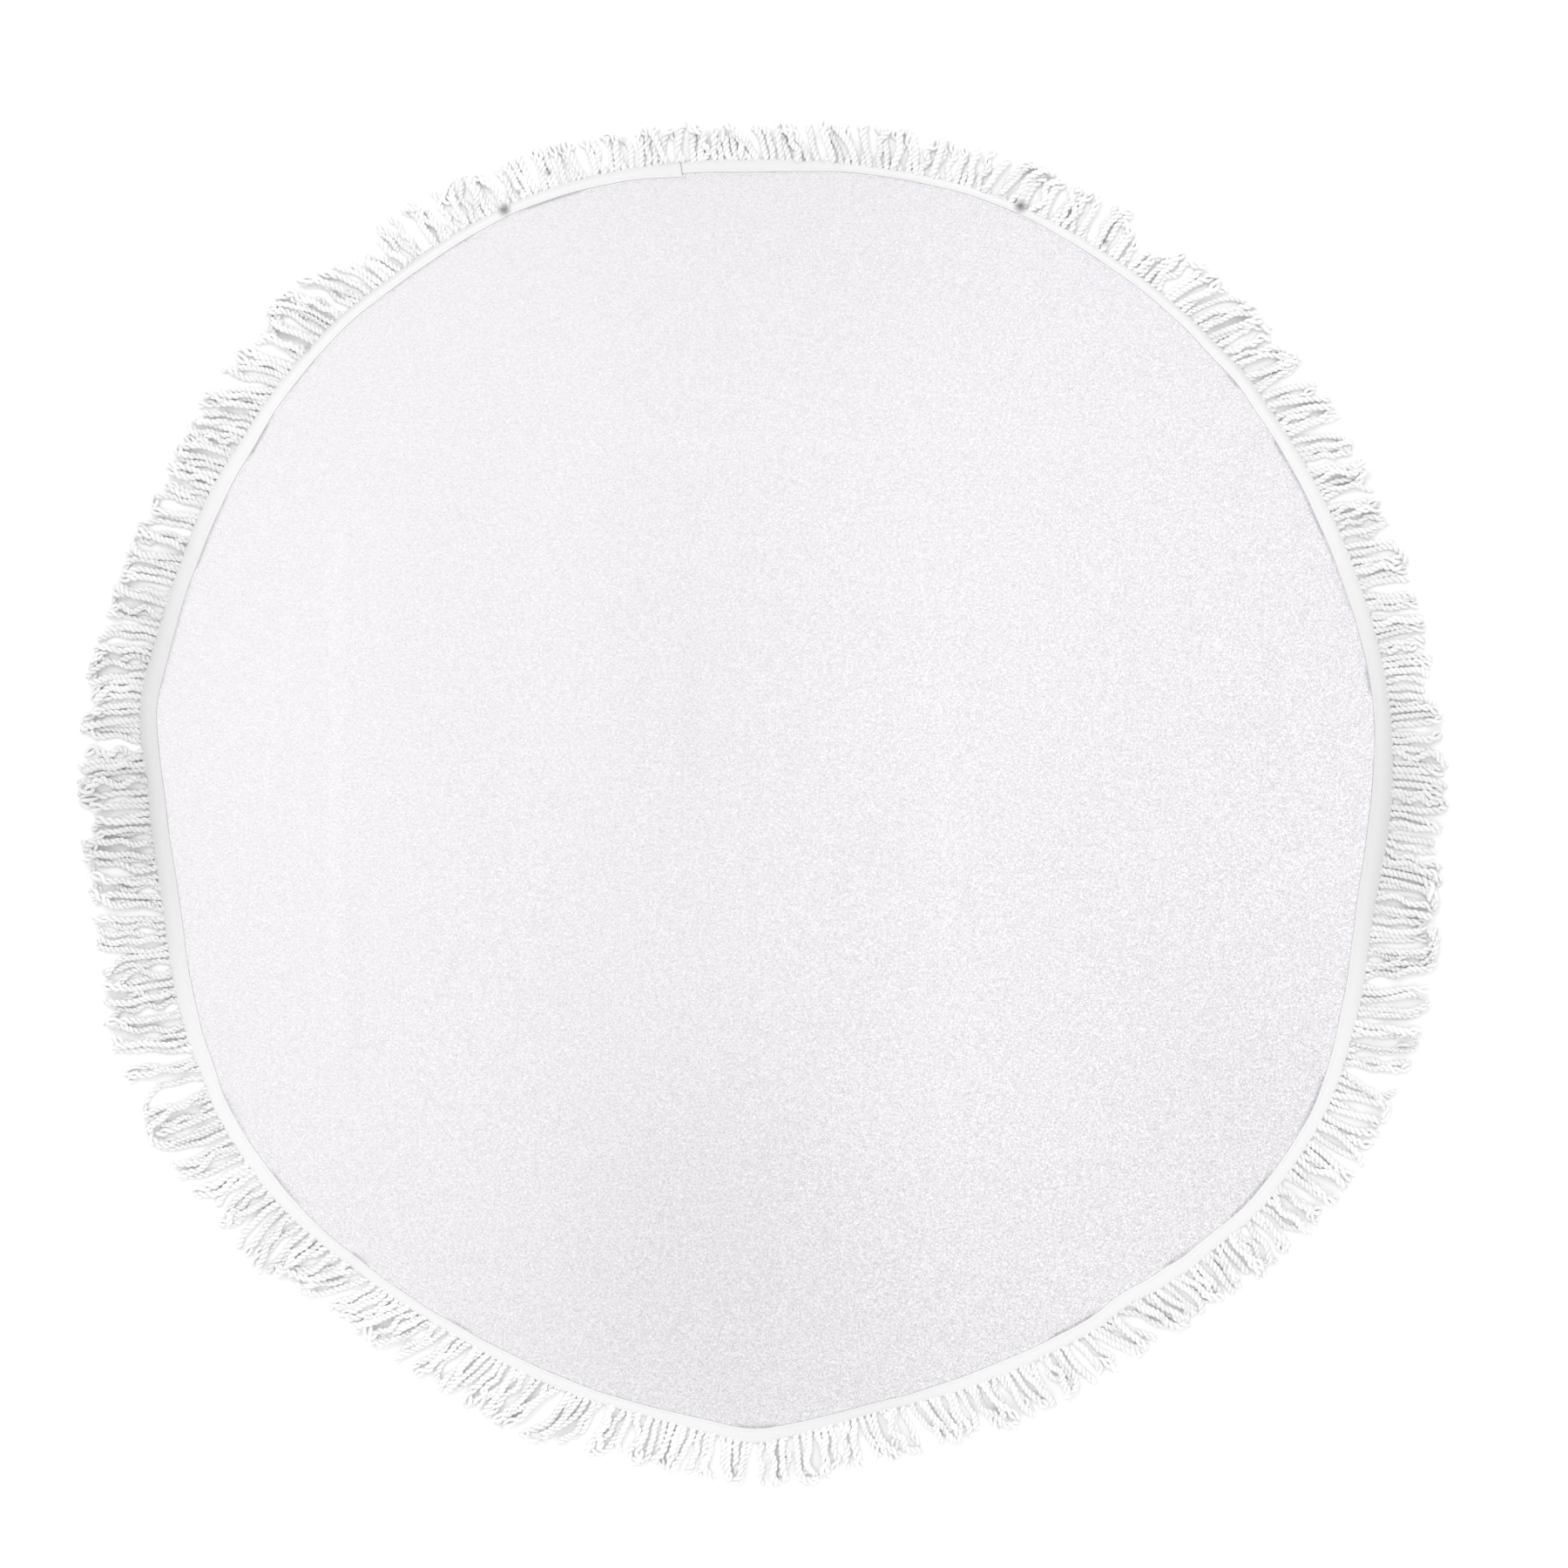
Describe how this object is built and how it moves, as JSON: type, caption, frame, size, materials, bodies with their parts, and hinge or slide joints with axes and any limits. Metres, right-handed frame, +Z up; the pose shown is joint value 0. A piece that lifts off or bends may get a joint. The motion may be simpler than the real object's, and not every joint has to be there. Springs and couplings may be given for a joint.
{
  "type": "round beach towel",
  "caption": "Round white terry beach towel lying flat, with a woven tape and a fringe of twisted cotton cords sewn round its edge.",
  "frame": {"origin": "middle of the underside, on the surface that the towel lies on", "axes": "+Z up out of the cloth's face, +Y to the top of the towel as seen from above, +X to its right"},
  "size_m": [1.5003, 1.4899, 0.007],
  "materials": {
    "terry": "short-looped white cotton terry, matt",
    "cotton_trim": "white woven tape and twisted cotton cord, matt"
  },
  "bodies": {
    "root": {"towel_cloth": "terry", "fringe": "cotton_trim"}
  },
  "joints": []
}
